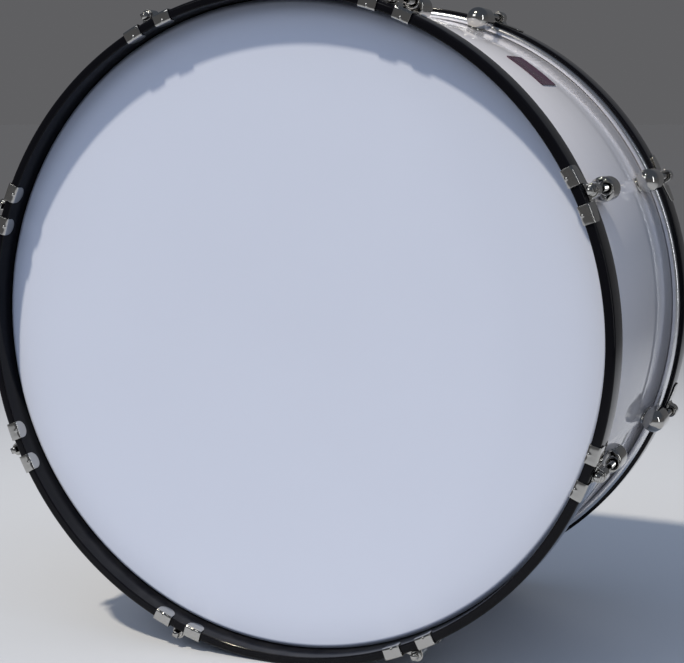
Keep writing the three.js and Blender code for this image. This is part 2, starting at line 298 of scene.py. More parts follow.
class HardwareSizes(bpy.types.PropertyGroup):
    """Sizes of the claws, tension rods and lugs."""

    fit_gap: length("Fit gap", "Gap between pieces that bear on each other", 0.3 * MM)
    claw_thickness: length("Claw thickness", "Thickness of the claw over its pips", 1.8 * MM)
    claw_width: length("Claw width", "Width of the claw round the hoop", 52.5 * MM)
    claw_bend: length("Claw bend", "Inner radius of the claw's bends", 1.2 * MM)
    claw_round: length("Claw rounding", "Rounding of the claw's edges", 0.4 * MM)
    lip_width: length("Lip width", "Width of each lip of the claw", 17.5 * MM)
    lip_reach: length("Lip reach", "How far a lip reaches inside the hoop", 12.5 * MM)
    notch_depth: length("Notch depth", "Depth of the notch between the lips", 9 * MM)
    plate_shoulder: length("Plate shoulder", "Depth at which the plate starts to taper", 15 * MM)
    plate_reach: length("Plate reach", "Depth at which the plate ends", 25 * MM)
    pip_height: length("Pip height", "Height of the pip stamped at each lip's bend", 0.7 * MM)
    pip_width: length("Pip width", "Half the width of the pip round the hoop", 1.0 * MM)
    pip_length: length("Pip length", "Half the length of the pip over the bend", 1.25 * MM)
    pip_offset: length("Pip offset", "How far in front of the bend the pip stands", 0.5 * MM)
    eye_start: length("Eye start", "Depth at which the claw's eye starts", 9 * MM)
    eye_length: length("Eye length", "Length of the claw's eye", 13 * MM)
    eye_radius: length("Eye radius", "Outer radius of the claw's eye", 6.4 * MM)
    eye_flare: length("Eye flare", "How far the eye's foot widens on the plate", 2.4 * MM)
    bore_radius: length("Bore radius", "Radius of the bores in claws and lugs", 3.75 * MM)
    rod_offset: length("Rod offset", "Distance from the hoop's outside to the rod's middle", 5.5 * MM)
    rod_radius: length("Rod radius", "Radius of the tension rod", 2.9 * MM)
    rod_tip: length("Rod tip", "Depth of the rod's end", 86 * MM)
    thread_start: length("Thread start", "Depth at which the rod's thread starts", 46 * MM)
    thread_pitch: length("Thread pitch", "Pitch of the rod's thread", 1 * MM)
    thread_depth: length("Thread depth", "Depth of the rod's thread", 0.5 * MM)
    rod_head_side: length("Rod head side", "Side of the rod's square head", 6.2 * MM)
    rod_head_height: length("Rod head height", "Height of the rod's square head", 6.5 * MM)
    flange_radius: length("Rod flange", "Radius of the flange under the rod's head", 5 * MM)
    flange_thickness: length("Flange thickness", "Thickness of the rod's flange", 1.6 * MM)
    lug_mouth: length("Lug mouth", "Depth at which the lug's collar starts", 60 * MM)
    collar_radius: length("Lug collar", "Radius of the collar round the rod", 6.8 * MM)
    collar_length: length("Collar length", "How far the collar stands out of the casing", 3 * MM)
    countersink: length("Countersink", "Radius of the collar's countersink", 5.4 * MM)
    countersink_depth: length("Countersink depth", "Depth of the collar's countersink", 4.5 * MM)
    lug_shoulder: length("Lug shoulder", "Rounding of the casing's front edge", 2.6 * MM)
    lug_radius: length("Lug radius", "Radius of the lug's casing", 11.6 * MM)
    dome_start: length("Dome start", "Depth at which the lug's dome starts", 87 * MM)
    bore_end: length("Bore end", "Depth of the lug's bore", 90 * MM)
    foot_width: length("Foot width", "Width of the lug's foot", 13.6 * MM)
    foot_start: length("Foot start", "Depth at which the lug's foot starts", 65.5 * MM)
    foot_end: length("Foot end", "Depth at which the lug's foot ends", 92.5 * MM)
    foot_flare: length("Foot flare", "How far the lug's foot widens at the shell", 1.1 * MM)
    bolt_radius: length("Bolt radius", "Radius of the lug's bolt", 2.6 * MM)
    washer_radius: length("Washer radius", "Radius of the washer under the bolt's head", 5.6 * MM)
    bolt_head_height: length("Bolt head height", "Height of the bolt's head", 4.2 * MM)


class Finishes(bpy.types.PropertyGroup):
    """Colours of the drum's finishes and of the floor."""

    covering: tint("Covering", "Glossy white covering with a lilac cast", (0.725, 0.705, 0.735))
    lacquer: tint("Lacquer", "Black lacquer of the counter hoops", (0.0035, 0.0035, 0.005))
    film: tint("Film", "Smooth white film of the heads", (0.625, 0.665, 0.79))
    chrome: tint("Chrome", "Polished chrome of claws, rods and lugs", (0.50, 0.492, 0.468))
    aluminium: tint("Aluminium", "Satin metal of the flesh hoops", (0.80, 0.81, 0.84))
    maple: tint("Maple", "Bare wood of the shell", (0.66, 0.46, 0.27))
    enamel: tint("Badge enamel", "Dark plum enamel of the badge", (0.085, 0.032, 0.062))
    steel: tint("Plated steel", "Zinc plating of the bolts inside the shell", (0.50, 0.49, 0.46))
    floor: tint("Floor", "Pale floor under the drum", (0.43, 0.44, 0.465))
    backdrop: tint("Backdrop", "Background that the far floor fades into", (0.115, 0.115, 0.12))


def deselect_all():
    """Leaves edit mode and deselects every object."""
    if bpy.context.object and bpy.context.object.mode != "OBJECT":
        bpy.ops.object.mode_set(mode="OBJECT")
    bpy.ops.object.select_all(action="DESELECT")


def pick(piece):
    """Makes one piece the only selected object, and the active one."""
    deselect_all()
    piece.select_set(True)
    bpy.context.view_layer.objects.active = piece


def edit(piece):
    """Opens a piece in edit mode with all of it selected."""
    pick(piece)
    bpy.ops.object.mode_set(mode="EDIT")
    bpy.ops.mesh.select_mode(type="VERT")
    bpy.ops.mesh.select_all(action="SELECT")


def select_vertices(test):
    """Selects the vertices of the piece in edit mode whose place passes a test."""
    bpy.ops.mesh.select_mode(type="VERT")
    bpy.ops.mesh.select_all(action="DESELECT")
    mesh = bpy.context.edit_object.data
    shape = bmesh.from_edit_mesh(mesh)
    for vertex in shape.verts:
        vertex.select_set(test(vertex.co))
    shape.select_flush(True)
    bmesh.update_edit_mesh(mesh)


def finish(piece, angle=SMOOTH_ANGLE):
    """Leaves edit mode, puts the origin at the world's and shades the piece smooth."""
    pick(piece)
    bpy.ops.object.transform_apply(location=True, rotation=True, scale=True)
    bpy.ops.object.shade_smooth_by_angle(angle=angle)
    return piece


def extrude(move):
    """Extrudes what is selected in edit mode."""
    bpy.ops.mesh.extrude_region_move(TRANSFORM_OT_translate={"value": move})


def turn_outward():
    """Turns the faces of the piece in edit mode outward."""
    bpy.ops.mesh.select_all(action="SELECT")
    bpy.ops.mesh.normals_make_consistent(inside=False)


def draw_outline(name, points, closed=True):
    """Draws an outline from point to point with extrude, and leaves it in edit mode."""
    deselect_all()
    bpy.ops.mesh.primitive_plane_add(size=MM, location=points[0])
    piece = bpy.context.active_object
    piece.name = name
    piece.data.name = name
    edit(piece)
    bpy.ops.mesh.merge(type="CENTER")
    path = list(points) + ([points[0]] if closed else [])
    for here, there in zip(path, path[1:]):
        extrude(there - here)
    bpy.ops.mesh.select_all(action="SELECT")
    if closed:
        bpy.ops.mesh.remove_doubles(threshold=MERGE_DISTANCE)
    bpy.ops.object.mode_set(mode="OBJECT")
    bpy.ops.object.transform_apply(location=True, rotation=True, scale=True)
    edit(piece)
    return piece


def near(*points):
    """A test for vertices that lie at one of some points."""
    return lambda place: any((place - point).length < AT_POINT for point in points)


def round_corners(radius, test=lambda place: True, steps=BEVEL_STEPS):
    """Rounds those corners of the outline in edit mode that pass a test."""
    select_vertices(test)
    bpy.ops.mesh.bevel(offset=radius, segments=steps, affect="VERTICES", profile=0.5)


def bisect_at(places, direction):
    """Cuts the flat piece in edit mode straight across a direction, at each place along it."""
    for place in places:
        bpy.ops.mesh.select_all(action="SELECT")
        bpy.ops.mesh.bisect(plane_co=direction * place, plane_no=direction)


def spin_round(steps, centre=AXIS_POINT, axis=ALONG_DRUM):
    """Spins the outline in edit mode all the way round, closes the seam and turns its faces outward."""
    bpy.ops.mesh.select_all(action="SELECT")
    bpy.ops.mesh.spin(steps=steps, angle=math.tau, center=centre, axis=axis)
    bpy.ops.mesh.select_all(action="SELECT")
    bpy.ops.mesh.remove_doubles(threshold=MERGE_DISTANCE)
    turn_outward()


def turned(name, points, roundings=(), steps=RING_STEPS, centre=AXIS_POINT, axis=ALONG_DRUM, closed=False):
    """A piece turned from an outline. A rounding gives its corners' numbers, its radius and its steps."""
    piece = draw_outline(name, points, closed)
    for corners, radius, fineness in roundings:
        round_corners(radius, near(*(points[corner] for corner in corners)), fineness)
    spin_round(steps, centre, axis)
    return finish(piece)


def turned_rim(name, profile):
    """A ring of the front rim, turned from corners that each give a radius, a depth and a rounding."""
    roundings = [((corner,), rounding, RIM_STEPS) for corner, (_, _, rounding) in enumerate(profile)]
    return turned(name, [at_end(radius, depth) for radius, depth, _ in profile], roundings, closed=True)


def turned_bar(name, height, profile, roundings=(), steps=SMALL_STEPS):
    """A piece turned about a line along the drum, at a height over its axis, from radii and depths."""
    points = [at_end(height + radius, depth) for radius, depth in profile]
    return turned(name, points, roundings, steps, at_end(height, 0))


def raised_block(name, points, *moves):
    """A block raised from an outline, move by move."""
    piece = draw_outline(name, points)
    bpy.ops.mesh.edge_face_add()
    for move in moves:
        extrude(move)
    turn_outward()
    return finish(piece)


def apply_modifier(piece, kind, **settings):
    """Adds a modifier to a piece and applies it."""
    modifier = piece.modifiers.new(kind.title(), kind)
    for name, value in settings.items():
        setattr(modifier, name, value)
    pick(piece)
    bpy.ops.object.modifier_apply(modifier=modifier.name)


def ease_edges(piece, width, steps=EDGE_STEPS, angle=SMOOTH_ANGLE):
    """Rounds the edges of a piece that are sharper than an angle."""
    apply_modifier(piece, "BEVEL", width=width, segments=steps, limit_method="ANGLE", angle_limit=angle)


def combine(piece, other, operation):
    """Cuts a piece with another or joins the two, and uses up the other."""
    apply_modifier(piece, "BOOLEAN", object=other, operation=operation, solver="EXACT")
    bpy.data.meshes.remove(other.data)


def join(pieces):
    """Joins some pieces into the first of them, without merging anything."""
    pick(pieces[0])
    for piece in pieces[1:]:
        piece.select_set(True)
    bpy.ops.object.join()
    return pieces[0]


def turned_copy(piece, name, matrix):
    """A copy of a piece with its own mesh, moved by a matrix."""
    copy = piece.copy()
    copy.data = piece.data.copy()
    copy.name = name
    copy.data.name = name
    copy.data.transform(matrix)
    bpy.context.collection.objects.link(copy)
    return copy


def round_drum(angle):
    """Turns a piece at the top of the drum clockwise about the drum's axis."""
    return Matrix.Translation(AXIS_POINT) @ Matrix.Rotation(angle, 4, "Y") @ Matrix.Translation(-AXIS_POINT)


def at_end(radius, depth, across=0.0):
    """The point at the top of the front end, at a radius and a depth behind the hoop's face."""
    return Vector((across, depth - HALF_DEPTH, AXIS_HEIGHT + radius))


def at_middle(radius, along, across=0.0):
    """The point at the top of the drum, at a radius and a distance behind its middle."""
    return Vector((across, along, AXIS_HEIGHT + radius))


def dress(piece, node, body, slot, *finishes):
    """Names a piece after the CAD node that it stands for, and gives it its finishes and body; its slot is
    not used.
    """
    piece.name = node + "_finished"
    piece.data.name = piece.name
    piece["stands_for"] = node
    piece.data.materials.clear()
    for key in finishes:
        piece.data.materials.append(finish_of(key))
    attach(piece, body)
    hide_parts(piece["stands_for"])


# Shader nodes, and the node groups that the materials share


def add_node(tree, kind, inputs=None, **settings):
    """Adds a node, sets it, and links or sets its inputs."""
    node = tree.nodes.new(kind)
    for name, value in settings.items():
        setattr(node, name, value)
    set_inputs(tree, node, inputs or {})
    return node


def set_inputs(tree, node, inputs):
    """Links or sets the inputs of a node."""
    for name, value in inputs.items():
        if isinstance(value, bpy.types.NodeSocket):
            tree.links.new(value, node.inputs[name])
        else:
            node.inputs[name].default_value = value


def object_place(tree):
    """The place of a point on the object."""
    return add_node(tree, "ShaderNodeTexCoord").outputs["Object"]


def noise(tree, place, scale, detail, roughness=0.5, distortion=0.0):
    """The level of a noise at a place."""
    return add_node(tree, "ShaderNodeTexNoise", {
        "Vector": place, "Scale": scale, "Detail": detail, "Roughness": roughness,
        "Distortion": distortion}).outputs["Fac"]


def remap(tree, value, low, high, bottom=0.0, top=1.0, **settings):
    """How far a value lies between two levels, as a value between bottom and top."""
    return add_node(tree, "ShaderNodeMapRange", {
        "Value": value, "From Min": low, "From Max": high, "To Min": bottom, "To Max": top},
        **settings).outputs["Result"]


def maths(tree, operation, *values):
    """The result of a sum on one to three values."""
    return add_node(tree, "ShaderNodeMath", dict(enumerate(values)), operation=operation).outputs[0]


def mix(tree, share, one, other):
    """One colour, turned into another by a share."""
    return add_node(tree, "ShaderNodeMixRGB", {"Fac": share, "Color1": one, "Color2": other}).outputs["Color"]


def dimmed(tree, colour, share):
    """A colour times a share."""
    return add_node(tree, "ShaderNodeVectorMath", {
        0: colour, "Scale": share}, operation="SCALE").outputs["Vector"]


def split(tree, vector):
    """The three parts of a vector."""
    return add_node(tree, "ShaderNodeSeparateXYZ", {"Vector": vector}).outputs


def length_of(tree, vector):
    """The length of a vector."""
    return add_node(tree, "ShaderNodeVectorMath", {0: vector}, operation="LENGTH").outputs["Value"]


def stretched(tree, place, scale, turn=(0, 0, 0)):
    """A place, turned and then scaled by its own amount along each axis."""
    return add_node(tree, "ShaderNodeMapping", {
        "Vector": place, "Rotation": turn, "Scale": scale}).outputs["Vector"]


def from_axis(tree, place):
    """How far a place is from the drum's axis, and where it is along the axis."""
    parts = split(tree, place)
    height = maths(tree, "SUBTRACT", parts["Z"], AXIS_HEIGHT)
    flat = add_node(tree, "ShaderNodeCombineXYZ", {"X": parts["X"], "Z": height}).outputs["Vector"]
    return length_of(tree, flat), parts["Y"]


def new_group(name, inputs, output, kind="NodeSocketFloat"):
    """An empty node group with named inputs and one output, and the sockets inside it."""
    tree = bpy.data.node_groups.new(name, "ShaderNodeTree")
    for label, default in inputs.items():
        input_kind = "NodeSocketFloat" if isinstance(default, float) else "NodeSocketColor"
        socket = tree.interface.new_socket(name=label, in_out="INPUT", socket_type=input_kind)
        socket.default_value = default
    tree.interface.new_socket(name=output, in_out="OUTPUT", socket_type=kind)
    given = tree.nodes.new("NodeGroupInput").outputs
    return tree, given, tree.nodes.new("NodeGroupOutput").inputs[output]


def place_group(tree, name, **inputs):
    """Places a built group in a material with its own values, and gives its output."""
    node = tree.nodes.new("ShaderNodeGroup")
    node.node_tree = bpy.data.node_groups[name]
    set_inputs(tree, node, {label.replace("_", " ").capitalize(): value for label, value in inputs.items()})
    return node.outputs[0]


def build_tone_drift():
    """A colour that drifts slowly over the surface, by a share of its brightness."""
    tree, given, result = new_group(
        "Tone drift", {"Colour": (1, 1, 1, 1), "Drift": 0.05, "Scale": 6.0}, "Colour", "NodeSocketColor")
    cloud = noise(tree, object_place(tree), given["Scale"], detail=4.0, roughness=0.55)
    swing = maths(tree, "SUBTRACT", cloud, 0.5)
    level = maths(tree, "ADD", maths(tree, "MULTIPLY", swing, given["Drift"]), 1.0)
    tree.links.new(dimmed(tree, given["Colour"], level), result)


def build_handling_marks():
    """A roughness with soft smudges and fine rubbing lines."""
    tree, given, result = new_group(
        "Handling marks", {"Roughness": 0.1, "Smudge": 0.05, "Lines": 0.03, "Scale": 14.0}, "Roughness")
    place = object_place(tree)
    cloud = noise(tree, place, given["Scale"], detail=5.0, roughness=0.6, distortion=0.6)
    blotch = remap(tree, cloud, low=0.46, high=0.72)
    rubbed = stretched(tree, place, RUBBING_SCALE, RUBBING_TURN)
    line = remap(tree, noise(tree, rubbed, scale=1.0, detail=2.0), low=0.6, high=0.75)
    soft = maths(tree, "MULTIPLY_ADD", blotch, given["Smudge"], given["Roughness"])
    tree.links.new(maths(tree, "MULTIPLY_ADD", line, given["Lines"], soft), result)


def build_worn_edge():
    """A mask of worn patches along the sharp edges."""
    tree, given, result = new_group("Worn edge", {"Start": 0.53, "Full": 0.62, "Breakup": 60.0}, "Mask")
    bend = add_node(tree, "ShaderNodeNewGeometry").outputs["Pointiness"]
    edge = remap(tree, bend, given["Start"], given["Full"])
    cloud = noise(tree, object_place(tree), given["Breakup"], detail=6.0, roughness=0.7)
    patch = remap(tree, cloud, low=0.5, high=0.66)
    tree.links.new(maths(tree, "MULTIPLY", edge, patch), result)


def build_settled_dust():
    """A mask of thin dust on the faces that look up."""
    tree, given, result = new_group("Settled dust", {"Amount": 0.2, "Scale": 25.0}, "Mask")
    facing = add_node(tree, "ShaderNodeNewGeometry").outputs["Normal"]
    level = remap(tree, split(tree, facing)["Z"], low=0.35, high=1.0)
    cloud = noise(tree, object_place(tree), given["Scale"], detail=8.0, roughness=0.72)
    grain = remap(tree, cloud, low=0.42, high=0.78)
    lying = maths(tree, "MULTIPLY", level, grain)
    tree.links.new(maths(tree, "MULTIPLY", lying, given["Amount"]), result)


def build_surface_ripple():
    """A height with a long ripple and a fine grain over it."""
    tree, given, result = new_group(
        "Surface ripple", {"Ripple scale": 120.0, "Grain scale": 1500.0, "Grain": 0.3}, "Height")
    place = object_place(tree)
    ripple = noise(tree, place, given["Ripple scale"], detail=2.0)
    grain = noise(tree, place, given["Grain scale"], detail=3.0)
    tree.links.new(maths(tree, "MULTIPLY_ADD", grain, given["Grain"], ripple), result)


def build_turned_lines():
    """A height of fine lines that run round the drum's axis."""
    tree, given, result = new_group("Turned lines", {"Scale": 2500.0}, "Height")
    reach, along = from_axis(tree, object_place(tree))
    lined = add_node(tree, "ShaderNodeCombineXYZ", {"X": reach, "Y": along}).outputs["Vector"]
    tree.links.new(noise(tree, lined, given["Scale"], detail=2.0), result)


GROUP_BUILDERS = (
    build_tone_drift, build_handling_marks, build_worn_edge, build_settled_dust, build_surface_ripple,
    build_turned_lines,
)


# Materials


def new_material(name):
    """A material with a Principled shader, its node tree and that shader's node."""
    material = bpy.data.materials.new(name)
    material.use_nodes = True
    tree = material.node_tree
    return material, tree, tree.nodes["Principled BSDF"]


def rgba(colour):
    """A colour as the four numbers of a socket."""
    return (*colour, 1.0)


def drifting(tree, colour, drift, scale):
    """A colour that drifts a little over the surface."""
    return place_group(tree, "Tone drift", colour=rgba(colour), drift=drift, scale=scale)


def marked(tree, roughness, smudge, lines, scale):
    """A roughness with smudges and fine lines."""
    return place_group(tree, "Handling marks", roughness=roughness, smudge=smudge, lines=lines, scale=scale)


def bump(tree, height, strength, distance):
    """A normal bent by a height."""
    return add_node(tree, "ShaderNodeBump", {
        "Height": height, "Strength": strength, "Distance": distance}).outputs["Normal"]


def layered_material(name, colour, drift, marks, worn=None, dust=None, ripple=None, lines=None, relief=None,
                     plain=None):
    """A finish in layers, each given by its settings.

    drift is the tone's drift and scale, marks the roughness, smudges, lines and scale, worn the edge's
    start, full wear, breakup and colour, dust its amount and scale, ripple the scales of ripple and
    grain and the grain's share, lines the scale of turned lines, relief the bump's strength and
    distance, and plain the shader's plain values.
    """
    material, tree, surface = new_material(name)
    base = drifting(tree, colour, *drift)
    if worn:
        start, full, breakup, under = worn
        mask = place_group(tree, "Worn edge", start=start, full=full, breakup=breakup)
        base = mix(tree, mask, base, rgba(under))
    if dust:
        amount, scale = dust
        base = mix(tree, place_group(tree, "Settled dust", amount=amount, scale=scale), base, rgba(DUST))
    inputs = {"Base Color": base, "Roughness": marked(tree, *marks)}
    if ripple:
        ripple_scale, grain_scale, grain = ripple
        height = place_group(
            tree, "Surface ripple", ripple_scale=ripple_scale, grain_scale=grain_scale, grain=grain)
        inputs["Normal"] = bump(tree, height, *relief)
    if lines:
        inputs["Normal"] = bump(tree, place_group(tree, "Turned lines", scale=lines), *relief)
    set_inputs(tree, surface, {**inputs, **(plain or {})})
    return material


def covering_material(colour):
    """Glossy white covering: a hard clear surface over an even white, with a faint ripple."""
    return layered_material(
        "Glossy white covering", colour, drift=(0.07, 5.0), dust=(0.10, 30.0), marks=(0.055, 0.05, 0.02, 9.0),
        ripple=(70.0, 900.0, 0.12), relief=(0.05, 0.4 * MM), plain={"IOR": 1.5})


def lacquer_material(colour):
    """Gloss black lacquer: deep black, rubbed duller at a few edge spots."""
    return layered_material(
        "Gloss black lacquer", colour, drift=(0.4, 18.0), worn=(0.545, 0.66, 85.0, (0.05, 0.045, 0.04)),
        dust=(0.03, 40.0), marks=(0.07, 0.07, 0.05, 22.0), ripple=(160.0, 1400.0, 0.15),
        relief=(0.06, 0.25 * MM), plain={"IOR": 1.25})


def film_material(colour):
    """Smooth white film: an even satin skin with very faint clouding and a fine grain."""
    return layered_material(
        "Smooth white film", colour, drift=(0.05, 4.0), marks=(0.36, 0.10, 0.04, 7.0),
        ripple=(40.0, 2600.0, 0.5), relief=(0.10, 0.12 * MM), plain={"IOR": 1.5})


def chrome_material(colour):
    """Polished chrome: bright metal with fingermarks, fine lines and duller worn edges."""
    return layered_material(
        "Polished chrome", colour, drift=(0.12, 45.0), worn=(0.56, 0.72, 260.0, (0.52, 0.47, 0.40)),
        marks=(0.05, 0.10, 0.05, 60.0), ripple=(220.0, 2400.0, 0.2), relief=(0.10, 0.12 * MM),
        plain={"Metallic": 1.0})


def aluminium_material(colour):
    """Satin aluminium: a turned ring with fine lines round it and a soft shine."""
    return layered_material(
        "Satin aluminium", colour, drift=(0.05, 12.0), dust=(0.05, 60.0), marks=(0.22, 0.06, 0.03, 18.0),
        lines=2200.0, relief=(0.02, 0.05 * MM), plain={"Metallic": 1.0})


def enamel_material(colour):
    """Badge enamel: dark plum with a soft metallic fleck, worn pale along its edges."""
    return layered_material(
        "Plum badge enamel", colour, drift=(0.5, 160.0), worn=(0.53, 0.60, 300.0, (0.45, 0.42, 0.42)),
        dust=(0.08, 90.0), marks=(0.24, 0.12, 0.08, 70.0), ripple=(300.0, 3200.0, 0.6),
        relief=(0.12, 0.08 * MM), plain={"Metallic": 0.35})


def steel_material(colour):
    """Zinc plated steel: a dull, slightly clouded plating."""
    return layered_material(
        "Zinc plated steel", colour, drift=(0.4, 120.0), marks=(0.3, 0.2, 0.1, 120.0),
        plain={"Metallic": 1.0})


def maple_material(colour):
    """Bare maple plywood: pale wood with grain round the shell and dark glue lines between plies."""
    material, tree, surface = new_material("Bare maple plywood")
    place = object_place(tree)
    reach, _ = from_axis(tree, place)
    ply = maths(tree, "FRACT", maths(tree, "DIVIDE", reach, PLY_THICKNESS))
    glue = remap(tree, ply, low=0.0, high=GLUE_SHARE, bottom=1.0, top=0.0)
    stretch = stretched(tree, place, WOOD_GRAIN_SCALE)
    grain = noise(tree, stretch, scale=1.0, detail=8.0, roughness=0.65, distortion=0.4)
    figure = remap(tree, grain, low=0.35, high=0.7, top=0.7)
    grained = mix(tree, figure, drifting(tree, colour, drift=0.25, scale=9.0), rgba(WOOD_GRAIN))
    set_inputs(tree, surface, {
        "Base Color": mix(tree, glue, grained, rgba(GLUE_LINE)),
        "Roughness": marked(tree, roughness=0.5, smudge=0.1, lines=0.05, scale=20.0),
        "Normal": bump(tree, grain, strength=0.2, distance=0.2 * MM)})
    return material


def seen_in_picture(tree):
    """One for what the camera sees, straight or in a mirror or a glass, and nought for other light."""
    path = add_node(tree, "ShaderNodeLightPath").outputs
    mirrored = maths(tree, "MAXIMUM", path["Is Glossy Ray"], path["Is Transmission Ray"])
    return maths(tree, "MAXIMUM", path["Is Camera Ray"], mirrored)


def floor_material(colour):
    """Pale studio floor: a matt sheet with the faintest cloud and a painted pool of light, paler near the
    drum, that fades into the backdrop far out.
    """
    material, tree, surface = new_material("Pale floor")
    reach = length_of(tree, object_place(tree))
    # Painted pool of light: the floor's colour is paler near the drum and darkens with distance into the
    # backdrop's.
    far = remap(tree, reach, *FLOOR_FADE, interpolation_type="SMOOTHSTEP")
    distant = rgba([level / FLOOR_GAIN for level in bpy.context.scene.drum_finishes.backdrop])
    faded = mix(tree, far, drifting(tree, colour, drift=0.03, scale=1.5), distant)
    shown = mix(tree, seen_in_picture(tree), dimmed(tree, faded, FLOOR_BOUNCE), faded)
    set_inputs(tree, surface, {"Base Color": shown, "Roughness": 1.0, "Specular IOR Level": 0.0})
    return material


MATERIAL_BUILDERS = {
    "covering": covering_material,
    "lacquer": lacquer_material,
    "film": film_material,
    "chrome": chrome_material,
    "aluminium": aluminium_material,
    "maple": maple_material,
    "enamel": enamel_material,
    "steel": steel_material,
    "floor": floor_material,
}


class DRUM_OT_finishes(bpy.types.Operator):
    """Builds the shader groups and the materials of every finish"""

    bl_idname = "drum.finishes"
    bl_label = "Finishes"

    def execute(self, context):
        for build_group in GROUP_BUILDERS:
            build_group()
        for key, build in MATERIAL_BUILDERS.items():
            build(getattr(context.scene.drum_finishes, key))["finish"] = key
        return {"FINISHED"}


def finish_of(key):
    """The material built for a finish."""
    return next(material for material in bpy.data.materials if material.get("finish") == key)


# Pieces


def hole_bars(sizes):
    """The bars that cut the bolt holes and the vent's hole, in one piece."""
    hardware = bpy.context.scene.drum_hardware
    inner = sizes.shell_radius - 3 * sizes.shell_wall
    outer = sizes.cover_radius + sizes.shell_wall
    along = HALF_DEPTH - (hardware.foot_start + hardware.foot_end) / 2
    holes = [
        (side * along, FIRST_STATION + station * STATION_STEP, sizes.bolt_hole)
        for station in range(STATIONS) for side in (-1, 1)
    ]
    holes.append((0.0, VENT_ANGLE, sizes.vent_tube + hardware.fit_gap))
    bars = []
    for distance, angle, radius in holes:
        points = [at_middle(inner, distance), at_middle(inner, distance, radius),
                  at_middle(outer, distance, radius), at_middle(outer, distance)]
        bar = turned("hole_bar", points, steps=BAR_STEPS, centre=at_middle(0, distance), axis=UPWARD)
        bar.data.transform(round_drum(angle))
        bars.append(bar)
    return join(bars)


def drilled_sleeve(sizes, node, profile, roundings):
    """A sleeve turned from radii and places along the drum, with its holes."""
    piece = turned(node, [at_middle(*corner) for corner in profile], roundings, closed=True)
    combine(piece, hole_bars(sizes), "DIFFERENCE")
    return finish(piece)


def make_shell(sizes):
    """The wooden shell: rims rounded outside and slanted inside."""
    half = sizes.shell_depth / 2
    inner = sizes.shell_radius - sizes.shell_wall
    tip = sizes.shell_radius - sizes.edge_tip_inset
    profile = [
        (inner, sizes.edge_bevel - half), (tip, -half), (sizes.shell_radius, sizes.edge_round - half),
        (sizes.shell_radius, half - sizes.edge_round), (tip, half), (inner, half - sizes.edge_bevel),
    ]
    roundings = [((1, 4), EDGE_TIP_ROUND, BEVEL_STEPS), ((2, 3), EDGE_SIDE_ROUND, BEVEL_STEPS)]
    return drilled_sleeve(sizes, "shell", profile, roundings)


def make_covering(sizes):
    """The covering: a thin sleeve with eased edges."""
    half = sizes.cover_depth / 2
    inner = sizes.cover_radius - sizes.cover_thickness
    profile = [(inner, -half), (sizes.cover_radius, -half), (sizes.cover_radius, half), (inner, half)]
    return drilled_sleeve(sizes, "shell_wrap", profile, [(range(4), sizes.cover_round, BEVEL_STEPS)])


class DRUM_OT_shell(bpy.types.Operator):
    """Models the wooden shell and its glossy covering"""

    bl_idname = "drum.shell"
    bl_label = "Shell and covering"

    def execute(self, context):
        sizes = context.scene.drum_shell
        dress(make_shell(sizes), "shell", "shell_body", "wood_shell", "maple")
        dress(make_covering(sizes), "shell_wrap", "shell_body", "white_covering", "covering")
        return {"FINISHED"}


def make_badge(sizes, gap):
    """The badge: a plain plate with a raised border, bent to the covering."""
    half_width = sizes.badge_width / 2
    half_length = sizes.badge_length / 2
    corners = [(-half_width, -half_length), (half_width, -half_length),
               (half_width, half_length), (-half_width, half_length)]
    piece = draw_outline("badge_outline", [Vector((x, y, 0)) for x, y in corners])
    round_corners(sizes.badge_corner, steps=RIM_STEPS)
    bpy.ops.mesh.select_all(action="SELECT")
    bpy.ops.mesh.edge_face_add()
    bpy.ops.mesh.inset(thickness=sizes.badge_border, depth=0)
    bpy.ops.mesh.inset(thickness=sizes.badge_recess, depth=-sizes.badge_recess)
    strips = [(strip / BADGE_STRIPS - 0.5) * sizes.badge_width for strip in range(1, BADGE_STRIPS)]
    bisect_at(strips, SIDEWAYS)
    bpy.ops.object.mode_set(mode="OBJECT")
    if sum(face.normal.z for face in piece.data.polygons) < 0:
        piece.data.flip_normals()
        for vertex in piece.data.vertices:
            vertex.co.z = -abs(vertex.co.z)
    apply_modifier(piece, "SOLIDIFY", thickness=sizes.badge_thickness, offset=-1)
    ease_edges(piece, BADGE_EDGE)
    top = sizes.cover_radius + gap + sizes.badge_thickness
    for vertex in piece.data.vertices:
        angle = vertex.co.x / top
        reach = top + vertex.co.z
        along = vertex.co.y + sizes.badge_shift
        vertex.co = at_middle(reach * math.cos(angle), along, reach * math.sin(angle))
    piece.data.transform(round_drum(BADGE_ANGLE))
    return finish(piece)


class DRUM_OT_badge(bpy.types.Operator):
    """Models the plain badge on the shell"""

    bl_idname = "drum.badge"
    bl_label = "Badge"

    def execute(self, context):
        badge = make_badge(context.scene.drum_shell, context.scene.drum_hardware.fit_gap)
        dress(badge, "badge_plate", "shell_body", "badge", "enamel")
        return {"FINISHED"}


def make_vent(sizes, gap):
    """The air vent: a flanged tube through the shell, open all the way."""
    inside = sizes.shell_radius - sizes.shell_wall - gap
    outside = sizes.cover_radius + gap
    thickness = sizes.vent_thickness
    profile = [
        (inside - thickness, sizes.vent_bore), (inside - thickness, sizes.vent_tube + thickness),
        (inside, sizes.vent_tube), (outside, sizes.vent_tube), (outside, sizes.vent_flange),
        (outside + thickness, sizes.vent_flange - thickness), (outside + thickness, sizes.vent_bore),
    ]
    points = [at_middle(height, 0, radius) for height, radius in profile]
    roundings = [((5, 6), VENT_ROUND, MOUTH_STEPS)]
    piece = turned("vent_outline", points, roundings, SMALL_STEPS, axis=UPWARD, closed=True)
    piece.data.transform(round_drum(VENT_ANGLE))
    return finish(piece)


